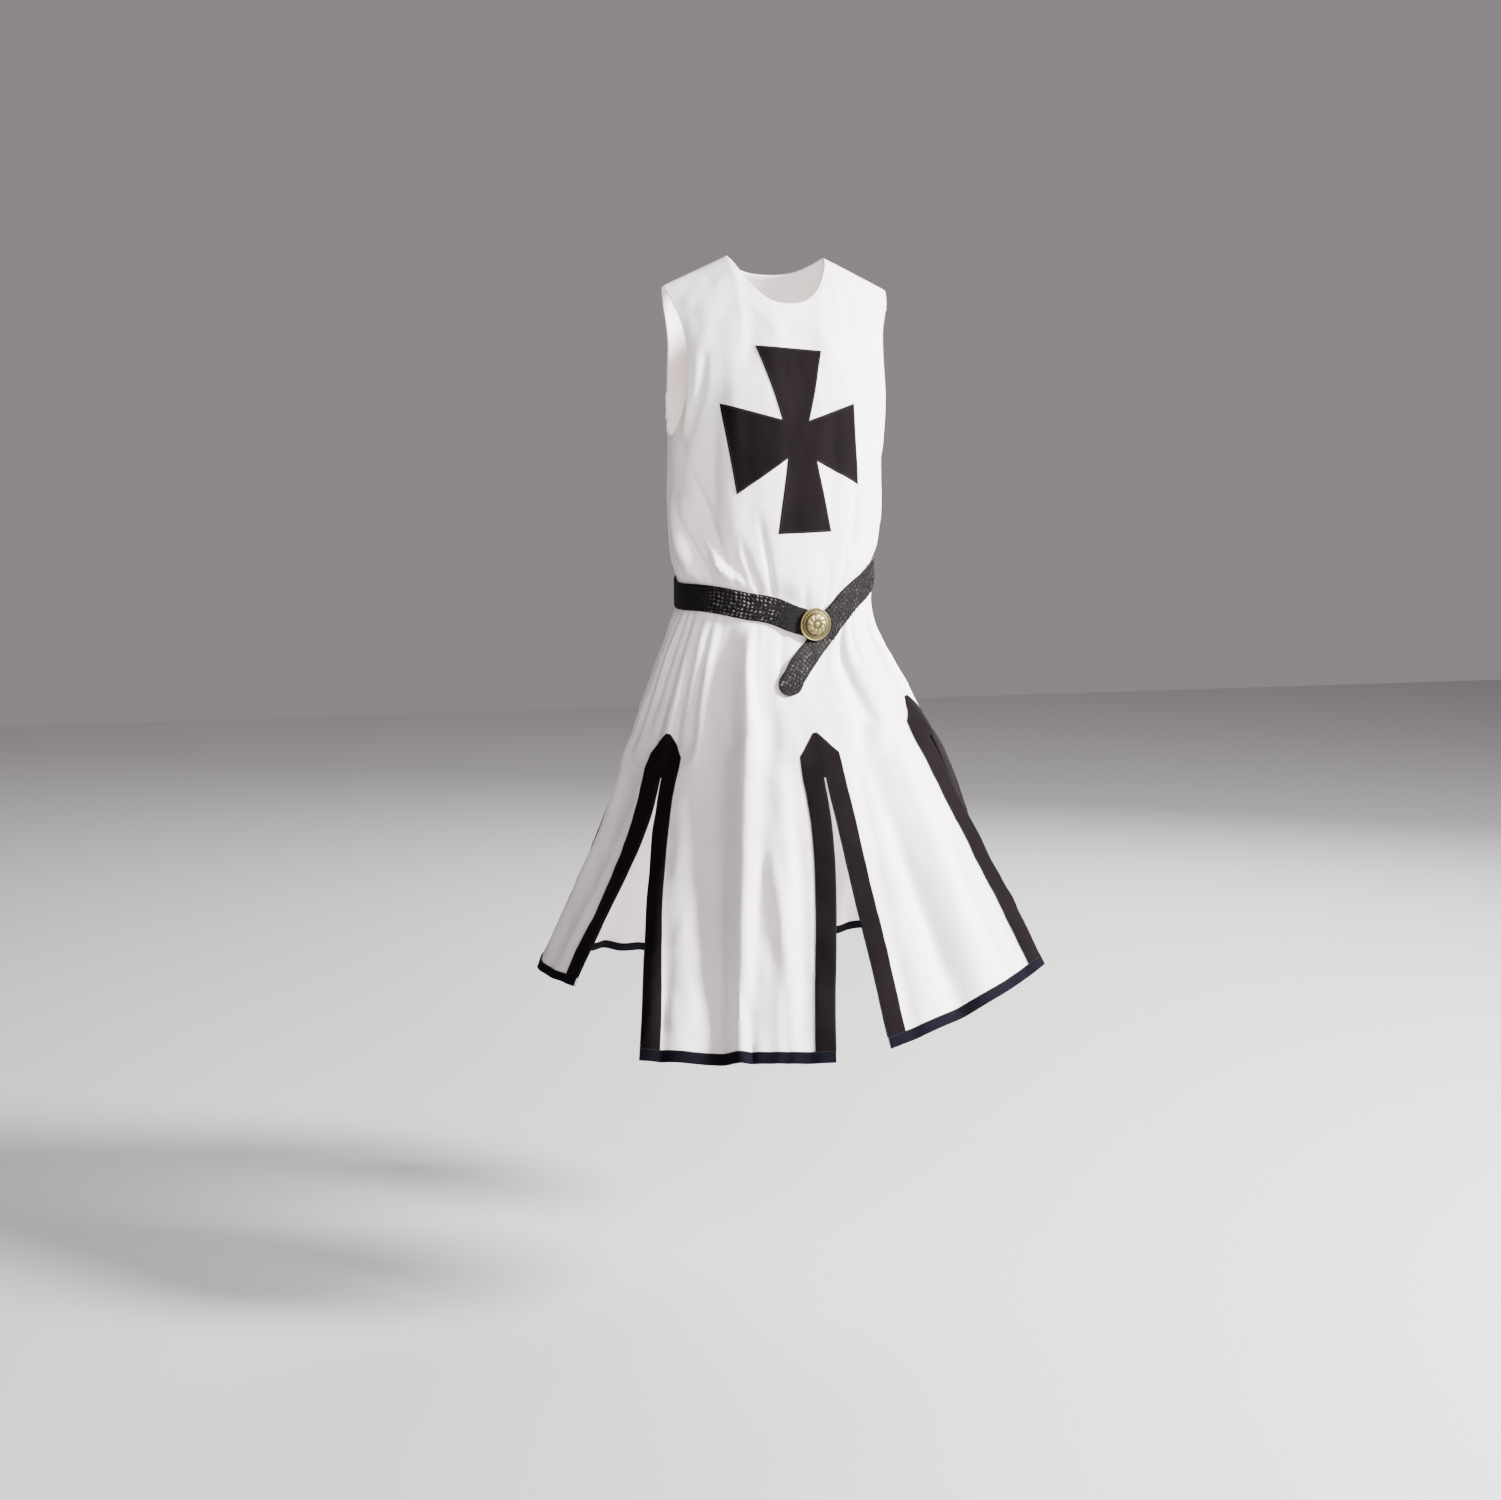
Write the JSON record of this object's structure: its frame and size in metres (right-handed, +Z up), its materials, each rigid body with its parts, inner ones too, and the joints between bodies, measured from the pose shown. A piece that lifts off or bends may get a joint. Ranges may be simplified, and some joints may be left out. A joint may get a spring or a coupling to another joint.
{
  "type": "tabard",
  "caption": "White cotton tabard with a black flared-arm cross, a skirt slit and edged in black, and a leather belt with a round brass buckle, in its worn shape.",
  "frame": {"origin": "halfway between the neck ends of the two shoulder seams, where the wearer's shoulders carry the tabard", "axes": "+X to the wearer's left, -Y out of the chest, +Z up"},
  "size_m": [0.7055, 0.8014, 1.1253],
  "materials": {
    "white_cotton": "thick plain-woven cotton, warm white, matt",
    "black_cotton": "black woven cotton with a faint brown-violet cast, matt",
    "navy_band": "very dark navy cotton binding, matt",
    "embossed_leather": "dark leather, smooth at the buckle's side and embossed with worn pale scales elsewhere",
    "aged_brass": "aged brass, darker in the hollows, rubbed bright on the rim and dome"
  },
  "bodies": {
    "root": {"front": "white_cotton", "back": "white_cotton", "cross": "black_cotton", "slit_trim_1": "black_cotton", "slit_trim_2": "black_cotton", "slit_trim_3": "black_cotton", "slit_trim_4": "black_cotton", "slit_trim_5": "black_cotton", "slit_trim_6": "black_cotton", "hem_band_1": "navy_band", "hem_band_2": "navy_band", "hem_band_3": "navy_band", "hem_band_4": "navy_band", "hem_band_5": "navy_band", "hem_band_6": "navy_band", "belt_strap": "embossed_leather", "belt_buckle": "aged_brass"}
  },
  "joints": []
}
